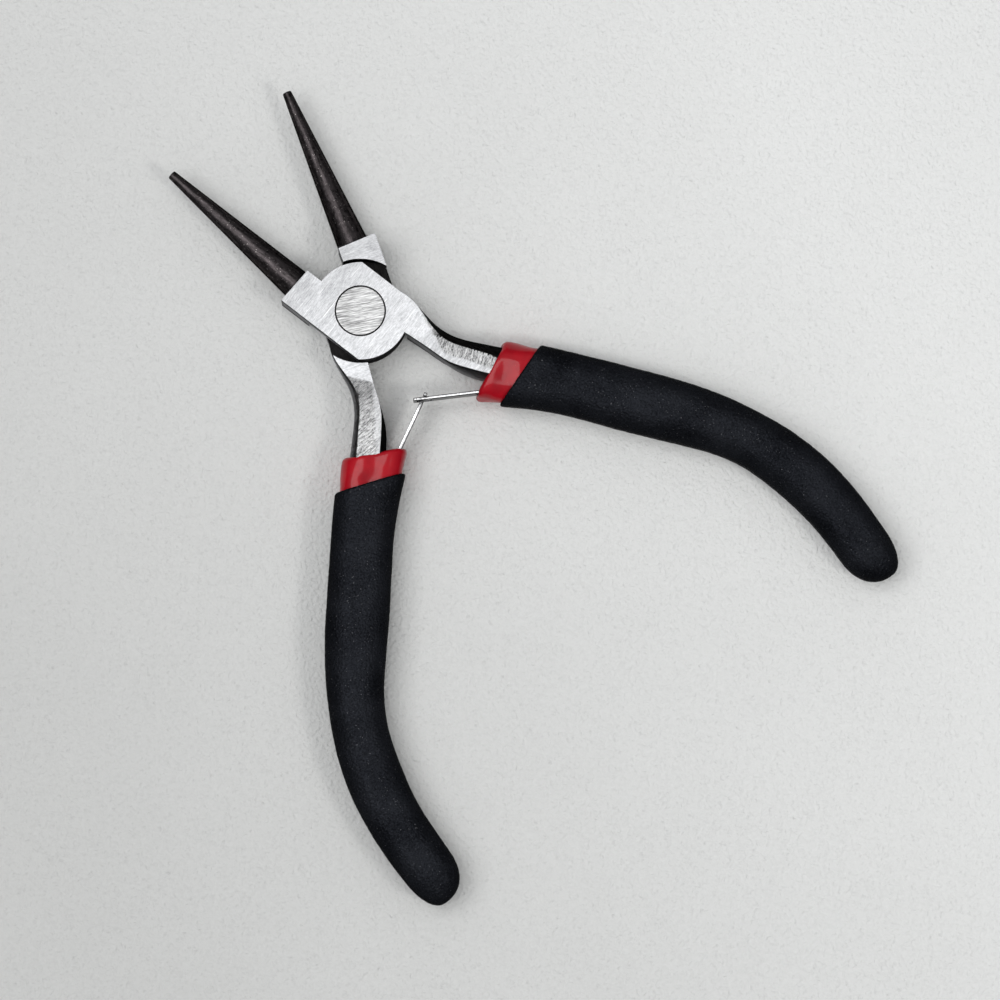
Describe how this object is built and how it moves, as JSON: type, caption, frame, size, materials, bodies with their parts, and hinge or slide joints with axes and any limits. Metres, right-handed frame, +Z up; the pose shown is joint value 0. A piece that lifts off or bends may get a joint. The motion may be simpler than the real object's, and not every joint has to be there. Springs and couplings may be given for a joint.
{
  "type": "round nose pliers",
  "caption": "Small round nose jewellery pliers: lap-jointed halves on a flush rivet, tapered round jaws, dipped handles and hooked leaf return springs.",
  "frame": {"origin": "on the pivot axis, at the flat underside of the joint", "axes": "+Z up the pivot axis from the underside of the joint to its top, +Y from the pivot to the nose along the line between the jaws, +X to the right"},
  "size_m": [0.092, 0.116, 0.0094],
  "materials": {
    "ground_steel": "flat faces surface-ground bright with fine straight lines, forged sides, lap faces and round jaws black oxide",
    "rivet_steel": "ground flush, coarser straight lines",
    "spring_steel": "plain rolled strip, darker at its edges",
    "red_vinyl": "smooth glossy dipped vinyl",
    "black_grip": "matt dipped grip with a fine pebbled texture"
  },
  "bodies": {
    "lower": {"lower_half": "ground_steel", "pivot_rivet": "rivet_steel", "lower_sleeve": "red_vinyl", "lower_grip": "black_grip", "lower_spring_rivet": "rivet_steel"},
    "upper": {"upper_half": "ground_steel", "upper_sleeve": "red_vinyl", "upper_grip": "black_grip", "upper_spring_rivet": "rivet_steel"},
    "slotted_leaf": {"slotted_leaf_spring": "spring_steel"},
    "tongued_leaf": {"tongued_leaf_spring": "spring_steel"}
  },
  "joints": [
    {"name": "pivot", "type": "hinge", "parent": "lower", "child": "upper", "pos_m": [0, 0, 0.0034], "axis": [0, 0, 1], "range_deg": [-32.8, 3], "stiffness_Nm_per_rad": 0.15},
    {"name": "slotted_leaf_flex", "type": "hinge", "parent": "upper", "child": "slotted_leaf", "pos_m": [0.00726, -0.02055, 0.0034], "axis": [0, 0, 1], "range_deg": [-36.75, 3.45], "deforming": ["slotted_leaf_spring"]},
    {"name": "tongued_leaf_flex", "type": "hinge", "parent": "lower", "child": "tongued_leaf", "pos_m": [-0.00726, -0.02055, 0.0034], "axis": [0, 0, 1], "range_deg": [-3.45, 36.75], "deforming": ["tongued_leaf_spring"]}
  ],
  "couplings": [
    {"joint": "slotted_leaf_flex", "follows": "pivot", "ratio": 1.1155},
    {"joint": "tongued_leaf_flex", "follows": "pivot", "ratio": -1.1155}
  ]
}
